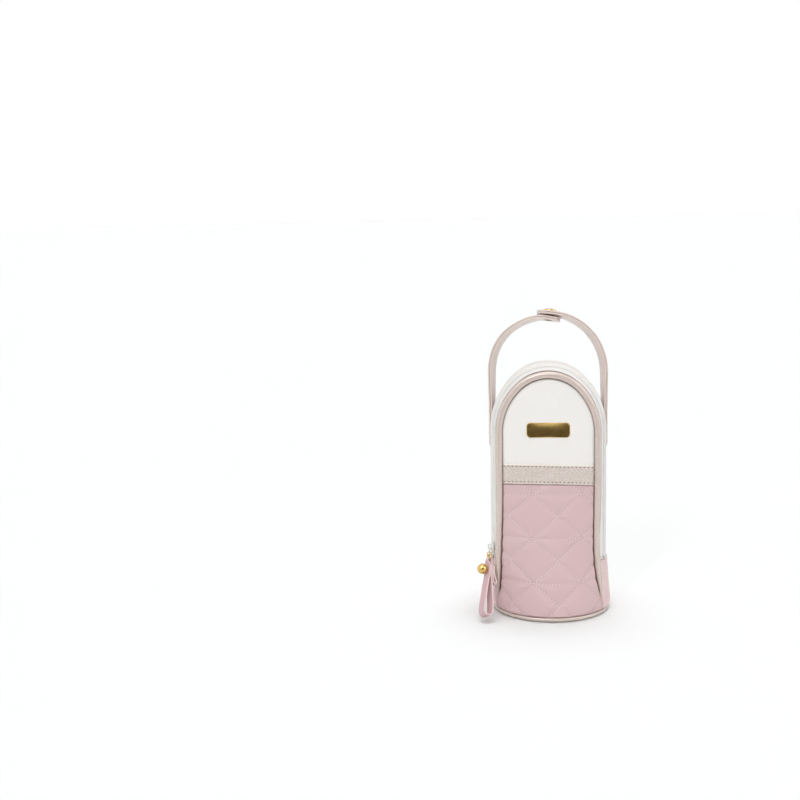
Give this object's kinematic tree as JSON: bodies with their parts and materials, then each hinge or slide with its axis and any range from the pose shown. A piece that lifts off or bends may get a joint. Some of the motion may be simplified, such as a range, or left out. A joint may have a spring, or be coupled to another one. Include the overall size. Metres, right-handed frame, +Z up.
{
  "type": "baby bottle bag",
  "caption": "Insulated carrier bag for a baby bottle: round base, domed leather body, arched quilted front that unzips and folds down, bare nameplate, strap handle with press stud.",
  "frame": {"origin": "middle of the base, on the surface that the bag stands on", "axes": "+Z up, -Y the front with the arched flap, +X the right side seen from the front"},
  "size_m": [0.1221, 0.1163, 0.2814],
  "materials": {
    "white_leather": "satin pebble grain",
    "pink_leather": "satin pebble grain, quilted on the front",
    "champagne_leather": "fine pearl glitter grain",
    "strap_leather": "fine pearl grain",
    "foam": "matt",
    "foil_lining": "satin foil",
    "stiff_board": "matt",
    "zip_tape": "matt woven",
    "zip_coil": "gloss",
    "white_enamel": "gloss",
    "gold": "polished"
  },
  "bodies": {
    "bag_body": {"back_panel": "white_leather", "base_board": "stiff_board", "base_foam": "foam", "base_panel": "pink_leather", "base_piping": "champagne_leather", "body_foam": "foam", "body_lining": "foil_lining", "gusset": "white_leather", "lower_band": "pink_leather", "lower_front_panel": "pink_leather", "piping_end_left": "champagne_leather", "piping_end_right": "champagne_leather", "snap_stud": "gold", "strap_left": "strap_leather", "strap_right": "strap_leather", "stud_back": "gold", "zip_coil_body": "zip_coil", "zip_stops": "zip_coil", "zip_tape_body": "zip_tape"},
    "front_flap": {"flap_piping": "champagne_leather", "flap_quilt_panel": "pink_leather", "flap_top_panel": "white_leather", "flap_band": "champagne_leather", "nameplate": "gold", "nameplate_washers": "gold", "flap_foam": "foam", "flap_lining": "foil_lining", "zip_tape_flap": "zip_tape", "zip_coil_flap": "zip_coil"},
    "zip_slider": {"slider_body": "white_enamel", "slider_bail": "white_enamel"},
    "zip_pull": {"pull_tab": "white_enamel", "pull_link": "gold", "pull_ring": "gold", "pull_loop": "pink_leather", "pull_tail": "pink_leather", "stud_ball": "gold", "stud_screw": "gold"},
    "handle_tip": {"strap_tip": "strap_leather", "snap_cap": "gold", "snap_socket": "gold"}
  },
  "joints": [
    {"name": "flap_fold", "type": "hinge", "parent": "bag_body", "child": "front_flap", "pos_m": [0, -0.04263, 0.052], "axis": [1, 0, 0], "range_deg": [0, 100]},
    {"name": "zip_run", "type": "slide", "parent": "bag_body", "child": "zip_slider", "axis": [0, 0, 1], "range_m": [0, 0.085]},
    {"name": "pull_swing", "type": "hinge", "parent": "zip_slider", "child": "zip_pull", "pos_m": [-0.05459, -0.01694, 0.0586], "axis": [-0.9551, -0.2963, 0], "range_deg": [-4, 45]},
    {"name": "strap_snap", "type": "hinge", "parent": "bag_body", "child": "handle_tip", "pos_m": [0.02611, 0.01123, 0.27136], "axis": [-0.2079, 0.9781, 0], "range_deg": [0, 80]}
  ]
}
